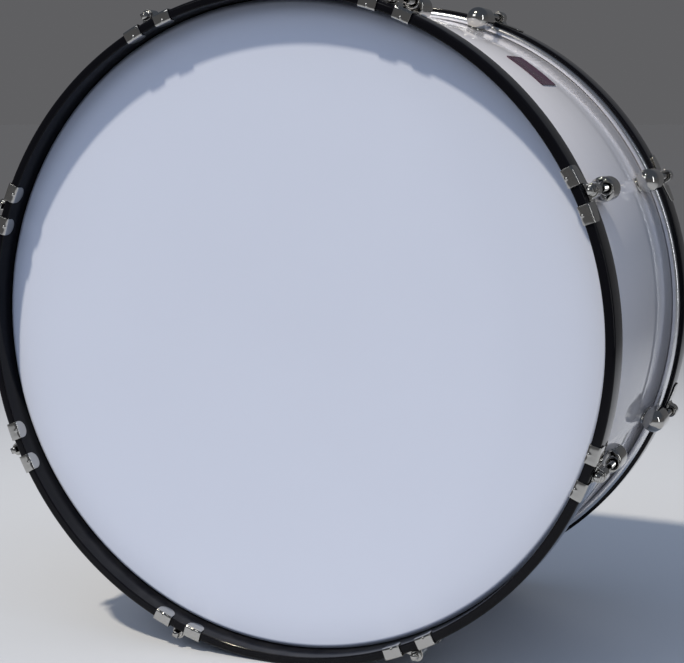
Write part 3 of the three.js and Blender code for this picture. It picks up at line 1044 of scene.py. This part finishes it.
class DRUM_OT_vent(bpy.types.Operator):
    """Models the air vent in the side of the shell"""

    bl_idname = "drum.vent"
    bl_label = "Air vent"

    def execute(self, context):
        vent = make_vent(context.scene.drum_shell, context.scene.drum_hardware.fit_gap)
        dress(vent, "vent_grommet", "shell_body", "vent_metal", "chrome")
        return {"FINISHED"}


def both_ends(front, part, slot, key):
    """Dresses a piece of the front end and its copy at the rear."""
    rear = turned_copy(front, part, TO_REAR)
    for end, piece in zip(ENDS, (front, rear)):
        dress(piece, f"{end}_{part}", f"{end}_rim", slot, key)


class DRUM_OT_hoops(bpy.types.Operator):
    """Models the two black counter hoops"""

    bl_idname = "drum.hoops"
    bl_label = "Counter hoops"

    def execute(self, context):
        sizes = context.scene.drum_rim
        inner, outer, width = sizes.hoop_radius - sizes.hoop_thickness, sizes.hoop_radius, sizes.hoop_width
        hoop = turned_rim("hoop_outline", [
            (inner, 0, sizes.hoop_round), (outer, 0, sizes.hoop_nose),
            (outer, width, sizes.hoop_round), (inner, width, sizes.hoop_round)])
        both_ends(hoop, "hoop", "black_hoop", "lacquer")
        return {"FINISHED"}


def make_flesh_hoop(sizes, gap):
    """The flesh hoop: a rolled channel that holds the film's edge, its outer wall standing to the hoop."""
    top = sizes.hoop_width + gap
    bottom = top + sizes.flesh_height
    floor = bottom - sizes.flesh_wall
    inside = sizes.flesh_inner + sizes.flesh_inner_wall
    wall = sizes.flesh_radius - sizes.flesh_wall
    lip = floor - sizes.flesh_channel
    heel = sizes.flesh_heel
    return turned_rim("flesh_hoop_outline", [
        (sizes.flesh_inner, lip, CHANNEL_LIP), (inside, lip, CHANNEL_LIP), (inside, floor, CHANNEL_FLOOR),
        (wall, floor, HEEL_SHARES[0] * heel), (wall, top, CHANNEL_TOPS[0]),
        (sizes.flesh_radius, top, CHANNEL_TOPS[1]), (sizes.flesh_radius, bottom, heel),
        (sizes.flesh_inner, bottom, HEEL_SHARES[1] * heel)])


class DRUM_OT_flesh_hoops(bpy.types.Operator):
    """Models the two metal flesh hoops"""

    bl_idname = "drum.flesh_hoops"
    bl_label = "Flesh hoops"

    def execute(self, context):
        piece = make_flesh_hoop(context.scene.drum_rim, context.scene.drum_hardware.fit_gap)
        both_ends(piece, "flesh_hoop", "flesh_hoop_metal", "aluminium")
        return {"FINISHED"}


def make_head(sizes):
    """The head: a flat film that bends over the bearing edge into a collar."""
    rim = sizes.film_radius - sizes.film_slope
    points = [at_end(rim * share, sizes.head_recess) for share in HEAD_RINGS]
    upper, lower = points[-1], at_end(sizes.film_radius, sizes.head_recess + sizes.film_collar)
    points += [lower, at_end(sizes.film_radius, sizes.film_end)]
    piece = draw_outline("head_outline", points, closed=False)
    round_corners(sizes.film_bend, near(upper), SHOULDER_STEPS)
    round_corners(sizes.film_bend * COLLAR_BEND, near(lower), RIM_STEPS)
    spin_round(HEAD_STEPS)
    bpy.ops.object.mode_set(mode="OBJECT")
    middle = min(piece.data.polygons, key=lambda face: (face.center - points[0]).length)
    if middle.normal.y > 0:
        piece.data.flip_normals()
    apply_modifier(piece, "SOLIDIFY", thickness=sizes.film_thickness, offset=-1, use_even_offset=True)
    return finish(piece)


class DRUM_OT_heads(bpy.types.Operator):
    """Models the two smooth white heads"""

    bl_idname = "drum.heads"
    bl_label = "Heads"

    def execute(self, context):
        both_ends(make_head(context.scene.drum_rim), "head", "head_film", "film")
        return {"FINISHED"}


def all_stations(master, part, body, slot, *finishes):
    """Copies a piece at the drum's top to every station of both ends, and removes it.

    The body's name may hold {end} and {number}.
    """
    for end in ENDS:
        for number in range(1, STATIONS + 1):
            matrix = round_drum(FIRST_STATION + (number - 1) * STATION_STEP)
            if end == "rear":
                matrix = matrix @ TO_REAR
            piece = turned_copy(master, part, matrix)
            dress(piece, f"{end}_{part}_{number}", body.format(end=end, number=number), slot, *finishes)
    bpy.data.meshes.remove(master.data)


class ClawFold:
    """Folds the flat blank of a claw over the hoop: down the inside, across its face, along the outside."""

    def __init__(self, rim, sizes):
        self.gap = sizes.fit_gap
        self.bend = sizes.claw_bend
        self.inner = rim.hoop_radius - rim.hoop_thickness - self.gap
        self.outer = rim.hoop_radius + self.gap
        self.inside_leg = sizes.lip_reach + self.gap - self.bend
        self.quarter = self.bend * math.pi / 2
        self.face_leg = self.outer - self.inner - 2 * self.bend
        self.pip = self.inside_leg + self.quarter + sizes.pip_offset
        self.outside_start = self.inside_leg + self.face_leg + 2 * self.quarter
        self.lip_reach = sizes.lip_reach

    def reach_of(self, depth):
        """The distance along the blank of a depth on the outside."""
        return self.outside_start + depth + self.gap - self.bend

    def place(self, reach):
        """The depth and radius of a distance along the blank, and which way its face looks there."""
        front = self.bend - self.gap
        if reach < self.inside_leg:
            return self.lip_reach - reach, self.inner, 0, -1
        reach -= self.inside_leg
        if reach < self.quarter:
            turn = reach / self.bend
            return (front - self.bend * math.sin(turn), self.inner + self.bend * (1 - math.cos(turn)),
                    -math.sin(turn), -math.cos(turn))
        reach -= self.quarter
        if reach < self.face_leg:
            return -self.gap, self.inner + self.bend + reach, -1, 0
        reach -= self.face_leg
        if reach < self.quarter:
            turn = reach / self.bend
            return (front - self.bend * math.cos(turn), self.outer - self.bend * (1 - math.sin(turn)),
                    -math.cos(turn), math.sin(turn))
        return front + reach - self.quarter, self.outer, 0, 1


def claw_cuts(fold, middle):
    """Where the claw's blank is cut across and along, so that it folds smoothly."""
    across = sorted({side * (middle + sign * offset * MM)
                     for side in (-1, 1) for sign in (-1, 1) for offset in LIP_CUTS})
    across += [offset * MM for offset in PLATE_CUTS]
    quarters = [fold.quarter * part / BEND_CUTS for part in range(BEND_CUTS + 1)]
    along = [fold.inside_leg + part for part in quarters]
    along += [fold.outside_start - part for part in quarters]
    along += [fold.pip + side * offset * MM for side in (-1, 1) for offset in PIP_CUTS]
    along.append(fold.pip)
    along += [fold.reach_of(depth * MM) for depth in DEPTH_CUTS]
    return across, along


def make_claw_strap(rim, sizes):
    """The strap of the claw: two round-ended lips and a plate, folded over the hoop."""
    fold = ClawFold(rim, sizes)
    half = sizes.claw_width / 2
    notch = half - sizes.lip_width
    middle = half - sizes.lip_width / 2
    throat = fold.reach_of(sizes.notch_depth)
    shoulder = fold.reach_of(sizes.plate_shoulder)
    end = fold.reach_of(sizes.plate_reach)
    blank = [(-half, 0), (-notch, 0), (-notch, throat), (notch, throat), (notch, 0), (half, 0),
             (half, shoulder), (sizes.eye_radius, end), (-sizes.eye_radius, end), (-half, shoulder)]
    piece = draw_outline("claw_blank", [Vector((across, reach, 0)) for across, reach in blank])
    round_corners(sizes.lip_width * LIP_END, lambda place: place.y < ON_LINE, LIP_STEPS)
    round_corners(NOTCH_ROUND, lambda place: abs(place.y - throat) < ON_LINE, CORNER_STEPS)
    round_corners(PLATE_ROUND, lambda place: abs(place.y - shoulder) < ON_LINE, CORNER_STEPS)
    bpy.ops.mesh.select_all(action="SELECT")
    bpy.ops.mesh.edge_face_add()
    across_cuts, along_cuts = claw_cuts(fold, middle)
    bisect_at(across_cuts, SIDEWAYS)
    bisect_at(along_cuts, ALONG_DRUM)
    bpy.ops.object.mode_set(mode="OBJECT")
    if piece.data.polygons[0].normal.z < 0:
        piece.data.flip_normals()
    sheet = sizes.claw_thickness - sizes.pip_height
    apply_modifier(piece, "SOLIDIFY", thickness=sheet, offset=1)
    for vertex in piece.data.vertices:
        across, reach, rise = vertex.co
        depth, radius, facing_depth, facing_radius = fold.place(reach)
        if rise > sheet / 2:
            rise += sizes.pip_height * math.exp(-((abs(across) - middle) / sizes.pip_width) ** 2
                                                - ((reach - fold.pip) / sizes.pip_length) ** 2)
        depth += rise * facing_depth
        radius += rise * facing_radius
        angle = across / fold.outer
        vertex.co = at_end(radius * math.cos(angle), depth, radius * math.sin(angle))
    plate = max(piece.data.polygons, key=lambda face: face.center.z)
    if plate.normal.z < 0:
        piece.data.flip_normals()
    ease_edges(piece, sizes.claw_round, BEVEL_STEPS, SHARP_ANGLE)
    return finish(piece)


def make_claw_eye(rim, sizes):
    """The eye of the claw: a round-topped block on a flared foot, bored for the rod."""
    seat = rim.hoop_radius + sizes.fit_gap + sizes.claw_thickness * EYE_SINK
    circle = rim.hoop_radius + sizes.rod_offset
    radius = sizes.eye_radius
    side = [(radius + sizes.eye_flare * grow, seat + sizes.claw_thickness * rise) for grow, rise in EYE_FOOT]
    turns = [math.pi * step / EYE_STEPS for step in range(EYE_STEPS + 1)]
    arc = [(radius * math.cos(turn), circle + radius * math.sin(turn)) for turn in turns]
    outline = side + arc + [(-across, height) for across, height in reversed(side)]
    points = [at_end(height, sizes.eye_start, across) for across, height in outline]
    piece = raised_block("claw_eye", points, (0, sizes.eye_length, 0))
    start, stop = sizes.eye_start - sizes.eye_length, sizes.eye_start + 2 * sizes.eye_length
    profile = [(0, start), (sizes.bore_radius, start), (sizes.bore_radius, stop), (0, stop)]
    combine(piece, turned_bar("claw_bore", circle, profile, steps=BAR_STEPS), "DIFFERENCE")
    ease_edges(piece, EYE_EDGE, BEVEL_STEPS, SHARP_ANGLE)
    return finish(piece)


class DRUM_OT_claws(bpy.types.Operator):
    """Models the sixteen chrome claws that hook over the hoops"""

    bl_idname = "drum.claws"
    bl_label = "Claws"

    def execute(self, context):
        rim, sizes = context.scene.drum_rim, context.scene.drum_hardware
        claw = make_claw_strap(rim, sizes)
        combine(claw, make_claw_eye(rim, sizes), "UNION")
        all_stations(finish(claw), "claw", "{end}_rim", "claw_chrome", "chrome")
        return {"FINISHED"}


def make_rod_head(sizes, circle):
    """The rod's square head, with its edges and top corners eased."""
    flange_start = sizes.eye_start - sizes.fit_gap - sizes.flange_thickness
    tip = at_end(circle, flange_start - sizes.rod_head_height)
    half = sizes.rod_head_side / 2
    corners = [at_end(circle + z, flange_start, x)
               for x, z in ((-half, -half), (half, -half), (half, half), (-half, half))]
    piece = draw_outline("rod_head", corners)
    round_corners(ROD_HEAD_ROUND)
    bpy.ops.mesh.select_all(action="SELECT")
    bpy.ops.mesh.edge_face_add()
    extrude((0, HEAD_TOP - sizes.rod_head_height, 0))
    extrude((0, -HEAD_TOP, 0))
    bpy.ops.mesh.bevel(offset=ROD_HEAD_ROUND, segments=BEVEL_STEPS, affect="EDGES")
    turn_outward()
    finish(piece)
    for vertex in piece.data.vertices:
        spread = Vector((vertex.co.x, vertex.co.z - tip.z)).length
        if vertex.co.y < tip.y + HEAD_CROWN_DEPTH:
            vertex.co.y += max(0.0, spread - half) * HEAD_CROWN
    return piece


def make_rod_thread(sizes, circle):
    """The rod's thread: one ridge wound round the shank by the Screw modifier."""
    root = sizes.rod_radius - sizes.thread_depth
    pitch = sizes.thread_pitch
    turns = math.floor((sizes.rod_tip - sizes.thread_start) / pitch) - 1
    ridge = [Vector((root, 0, 0)), Vector((sizes.rod_radius, 0, pitch / 2)), Vector((root, 0, pitch))]
    piece = draw_outline("rod_thread", ridge, closed=False)
    bpy.ops.object.mode_set(mode="OBJECT")
    apply_modifier(piece, "SCREW", axis="Z", screw_offset=pitch, iterations=turns, angle=math.tau,
                   steps=THREAD_STEPS, render_steps=THREAD_STEPS, use_merge_vertices=True,
                   merge_threshold=MERGE_DISTANCE)
    edit(piece)
    bpy.ops.mesh.remove_doubles(threshold=MERGE_DISTANCE)
    bpy.ops.mesh.select_all(action="DESELECT")
    bpy.ops.mesh.select_non_manifold()
    extrude((0, 0, 0))
    bpy.ops.transform.resize(value=(THREAD_CLOSING, THREAD_CLOSING, 1), center_override=(0, 0, 0))
    turn_outward()
    bpy.ops.object.mode_set(mode="OBJECT")
    lay_down = Matrix.Translation(at_end(circle, sizes.thread_start)) @ Matrix.Rotation(-math.pi / 2, 4, "X")
    piece.data.transform(lay_down)
    return finish(piece, THREAD_ANGLE)


def make_rod(rim, sizes):
    """The tension rod: square head, flange, plain shank and threaded end."""
    circle = rim.hoop_radius + sizes.rod_offset
    flange_end = sizes.eye_start - sizes.fit_gap
    flange_start = flange_end - sizes.flange_thickness
    root = sizes.rod_radius - sizes.thread_depth
    bevel_width, bevel_length = TIP_BEVEL
    profile = [
        (0, flange_start - FLANGE_CROWN), (sizes.flange_radius * FLANGE_FLAT, flange_start - FLANGE_CROWN),
        (sizes.flange_radius, flange_start), (sizes.flange_radius, flange_end),
        (sizes.rod_radius, flange_end), (sizes.rod_radius, sizes.thread_start),
        (root, sizes.thread_start + THREAD_RUNOUT), (root, sizes.rod_tip - bevel_length),
        (root - bevel_width, sizes.rod_tip), (0, sizes.rod_tip),
    ]
    piece = turned_bar("rod", circle, profile, [((2, 3), FLANGE_ROUND, BEVEL_STEPS)])
    join([piece, make_rod_head(sizes, circle), make_rod_thread(sizes, circle)])
    return finish(piece, SHARP_ANGLE)


class DRUM_OT_rods(bpy.types.Operator):
    """Models the sixteen tension rods with their square heads and threads"""

    bl_idname = "drum.rods"
    bl_label = "Tension rods"

    def execute(self, context):
        rod = make_rod(context.scene.drum_rim, context.scene.drum_hardware)
        all_stations(rod, "rod", "{end}_rod_{number}_body", "rod_chrome", "chrome")
        return {"FINISHED"}


def make_lug_casing(sizes, axis):
    """The lug's casing: a round body with an eased front edge and a domed rear end."""
    start = sizes.lug_mouth + sizes.collar_length
    profile = [(0, start), (sizes.lug_radius, start)]
    for step in range(DOME_STEPS + 1):
        sweep = step / DOME_STEPS * math.pi / 2
        profile.append((sizes.lug_radius * math.cos(sweep) if step < DOME_STEPS else 0,
                        sizes.dome_start + sizes.lug_radius * math.sin(sweep)))
    return turned_bar("lug", axis, profile, [((1,), sizes.lug_shoulder, SHOULDER_STEPS)])


def make_lug_collar(sizes, circle):
    """The lug's collar: a short tube round the rod, standing out of the casing."""
    mouth = sizes.lug_mouth
    root = mouth + sizes.collar_length + sizes.lug_shoulder
    profile = [(0, mouth), (sizes.collar_radius, mouth), (sizes.collar_radius, root), (0, root)]
    return turned_bar("lug_collar", circle, profile, [((1,), COLLAR_ROUND, MOUTH_STEPS)])


def make_lug_bore(sizes, circle):
    """The bar that cuts the lug's bore and its countersink."""
    mouth = sizes.lug_mouth
    outside = mouth - sizes.collar_length
    rim = sizes.countersink + COUNTERSINK_EDGE
    return turned_bar("lug_bore", circle, [
        (0, outside), (rim, outside), (rim, mouth), (sizes.countersink, mouth + COUNTERSINK_EDGE),
        (sizes.bore_radius, mouth + sizes.countersink_depth), (sizes.bore_radius, sizes.bore_end),
        (0, sizes.bore_end)])


def make_lug_foot(sizes, seat, axis):
    """The lug's foot: a round-ended pad that flares out where it meets the shell."""
    half = sizes.foot_width / 2
    ends = (sizes.foot_start + half, sizes.foot_end - half)
    turns = [math.pi * step / FOOT_STEPS for step in range(FOOT_STEPS + 1)]
    layers = [(sizes.foot_flare * share, height) for share, height in FOOT_LAYERS] + [(0.0, axis - seat)]
    reach = half + sizes.foot_flare
    points = [at_end(seat, centre - side * reach * math.sin(turn), -side * reach * math.cos(turn))
              for centre, side in zip(ends, (1, -1)) for turn in turns]
    moves = [(0, 0, above - below) for (_, below), (_, above) in zip(layers, layers[1:])]
    piece = raised_block("lug_foot", points, *moves)
    first, last = (at_end(0, end).y for end in ends)
    for vertex in piece.data.vertices:
        height = vertex.co.z - AXIS_HEIGHT - seat
        for (grow, below), (next_grow, above) in zip(layers, layers[1:]):
            if below - MERGE_DISTANCE <= height <= above + MERGE_DISTANCE:
                wanted = grow + (next_grow - grow) * ((height - below) / (above - below))
        middle = Vector((0, min(max(vertex.co.y, first), last)))
        away = (vertex.co.xy - middle) * ((half + wanted) / reach)
        vertex.co.x, vertex.co.y = middle + away
    ease_edges(piece, FOOT_EDGE)
    return finish(piece)


def make_lug_bolt(shell, sizes, axis):
    """The lug's bolt, with a washer and a hexagon head inside the shell."""
    middle = (sizes.foot_start + sizes.foot_end) / 2
    seat = shell.shell_radius - shell.shell_wall - sizes.fit_gap
    top = axis - sizes.lug_radius / 2
    rings = [(0, top), (sizes.bolt_radius, top), (sizes.bolt_radius, seat),
             (sizes.washer_radius, seat), (sizes.washer_radius, seat - WASHER), (0, seat - WASHER)]
    points = [at_end(height, middle, radius) for radius, height in rings]
    piece = turned("lug_bolt", points, steps=BAR_STEPS, centre=at_end(0, middle), axis=UPWARD)
    side = sizes.washer_radius * BOLT_HEAD_SHARE
    corners = [at_end(seat - WASHER, middle) + Vector((side * math.cos(turn), side * math.sin(turn), 0))
               for turn in (math.pi / 3 * step for step in range(6))]
    head = raised_block("lug_bolt_head", corners, (0, 0, WASHER - sizes.bolt_head_height))
    ease_edges(head, BOLT_HEAD_EDGE)
    combine(piece, head, "UNION")
    return finish(piece)


class DRUM_OT_lugs(bpy.types.Operator):
    """Models the sixteen bullet-shaped lugs with their bolts"""

    bl_idname = "drum.lugs"
    bl_label = "Lugs"

    def execute(self, context):
        shell, rim, sizes = context.scene.drum_shell, context.scene.drum_rim, context.scene.drum_hardware
        circle = rim.hoop_radius + sizes.rod_offset
        seat = shell.cover_radius + sizes.fit_gap
        axis = seat + sizes.lug_radius
        lug = make_lug_casing(sizes, axis)
        combine(lug, make_lug_collar(sizes, circle), "UNION")
        combine(lug, make_lug_foot(sizes, seat, axis), "UNION")
        combine(lug, make_lug_bore(sizes, circle), "DIFFERENCE")
        combine(lug, make_lug_bolt(shell, sizes, axis), "UNION")
        lug.data.materials.clear()
        for _ in range(2):
            lug.data.materials.append(None)
        for face in lug.data.polygons:
            face.material_index = int(face.center.z - AXIS_HEIGHT < shell.shell_radius)
        all_stations(finish(lug), "lug", "shell_body", "lug_chrome", "chrome", "steel")
        return {"FINISHED"}


# Stage


def add_holder(name, data, place, direction):
    """Puts a lamp or a camera in the scene at a place, looking in a direction."""
    holder = bpy.data.objects.new(name, data)
    holder.location = place
    holder.rotation_mode = "QUATERNION"
    holder.rotation_quaternion = Vector(direction).to_track_quat("-Z", "Y")
    bpy.context.collection.objects.link(holder)
    return holder


def add_area_light(name, place, aim, size, power, colour, mirrored):
    """A soft lamp at a place, looking at a point."""
    lamp = bpy.data.lights.new(name, "AREA")
    lamp.shape = "RECTANGLE"
    lamp.size, lamp.size_y = size
    lamp.energy = power
    lamp.color = colour
    add_holder(name, lamp, place, Vector(aim) - Vector(place)).visible_glossy = mirrored


def add_key_light():
    """The key light: a broad distant lamp from above and in front, a little to the left."""
    lamp = bpy.data.lights.new("key_lamp", "SUN")
    lamp.energy = KEY_STRENGTH
    lamp.angle = KEY_SPREAD
    lamp.color = KEY_COLOUR
    add_holder("key_lamp", lamp, (0, 0, 0), KEY_DIRECTION)


def add_camera():
    """The camera at the photograph's place, level-headed and looking slightly down."""
    camera = bpy.data.cameras.new("camera")
    camera.sensor_width = CAMERA_SENSOR
    camera.lens = CAMERA_LENS
    camera.shift_y = CAMERA_SHIFT
    camera.clip_start, camera.clip_end = CAMERA_RANGE
    bpy.context.scene.camera = add_holder("camera", camera, CAMERA_PLACE, CAMERA_DIRECTION)


def add_world(colour):
    """The room: a plain backdrop for camera and mirrors, and a cool light for matt surfaces."""
    world = bpy.data.worlds.new("Studio")
    world.use_nodes = True
    bpy.context.scene.world = world
    tree = world.node_tree
    tree.nodes.clear()
    direction = split(tree, add_node(tree, "ShaderNodeTexCoord").outputs["Generated"])
    rise = remap(tree, direction["Z"], *ROOM_RISE, interpolation_type="SMOOTHSTEP")
    wall = mix(tree, rise, rgba(colour), rgba(OVERHEAD))
    air = mix(tree, rise, rgba(LOW_AIR), rgba(HIGH_AIR))
    strength = remap(tree, direction["Y"], *ROOM_DEPTH, *ROOM_STRENGTH)
    backdrop = add_node(tree, "ShaderNodeBackground", {"Color": wall, "Strength": 1.0})
    room = add_node(tree, "ShaderNodeBackground", {"Color": air, "Strength": strength})
    mixed = add_node(tree, "ShaderNodeMixShader", {
        0: seen_in_picture(tree), 1: room.outputs["Background"], 2: backdrop.outputs["Background"]})
    add_node(tree, "ShaderNodeOutputWorld", {"Surface": mixed.outputs["Shader"]})


class DRUM_OT_stage(bpy.types.Operator):
    """Sets the pale floor, the lamps, the background and the camera"""

    bl_idname = "drum.stage"
    bl_label = "Stage"

    def execute(self, context):
        deselect_all()
        bpy.ops.mesh.primitive_circle_add(
            vertices=FLOOR_SIDES, radius=FLOOR_RADIUS, fill_type="NGON", location=(0, 0, 0))
        floor = context.active_object
        floor.name = "floor"
        floor.data.materials.append(finish_of("floor"))
        add_key_light()
        for name, settings in LAMPS.items():
            add_area_light(name, *settings)
        add_world(context.scene.drum_finishes.backdrop)
        add_camera()
        context.scene.view_settings.view_transform = "Standard"
        return {"FINISHED"}


class DRUM_PT_panel(bpy.types.Panel):
    """Lists the drum's operators, sizes and finishes in the sidebar"""

    bl_idname = "DRUM_PT_panel"
    bl_label = "Marching bass drum"
    bl_space_type = "VIEW_3D"
    bl_region_type = "UI"
    bl_category = "Drum"

    def draw(self, context):
        for operator in OPERATORS:
            self.layout.operator(operator.bl_idname)
        for settings in SETTINGS:
            box = self.layout.box()
            group = getattr(context.scene, settings)
            for name in group.__annotations__:
                box.prop(group, name)


OPERATORS = (
    DRUM_OT_finishes, DRUM_OT_shell, DRUM_OT_badge, DRUM_OT_vent, DRUM_OT_hoops, DRUM_OT_flesh_hoops,
    DRUM_OT_heads, DRUM_OT_claws, DRUM_OT_rods, DRUM_OT_lugs, DRUM_OT_stage,
)
SETTINGS = {
    "drum_shell": ShellSizes,
    "drum_rim": RimSizes,
    "drum_hardware": HardwareSizes,
    "drum_finishes": Finishes,
}
CLASSES = (*SETTINGS.values(), *OPERATORS, DRUM_PT_panel)


def register():
    for kind in CLASSES:
        bpy.utils.register_class(kind)
    for name, group in SETTINGS.items():
        setattr(bpy.types.Scene, name, PointerProperty(type=group))


def unregister():
    for name in SETTINGS:
        delattr(bpy.types.Scene, name)
    for kind in reversed(CLASSES):
        bpy.utils.unregister_class(kind)


def main():
    """Registers the add-on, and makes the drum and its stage."""
    register()
    bpy.ops.drum.finishes()
    bpy.ops.drum.shell()
    bpy.ops.drum.badge()
    bpy.ops.drum.vent()
    bpy.ops.drum.hoops()
    bpy.ops.drum.flesh_hoops()
    bpy.ops.drum.heads()
    bpy.ops.drum.claws()
    bpy.ops.drum.rods()
    bpy.ops.drum.lugs()
    bpy.ops.drum.stage()


if __name__ == "__main__":
    main()
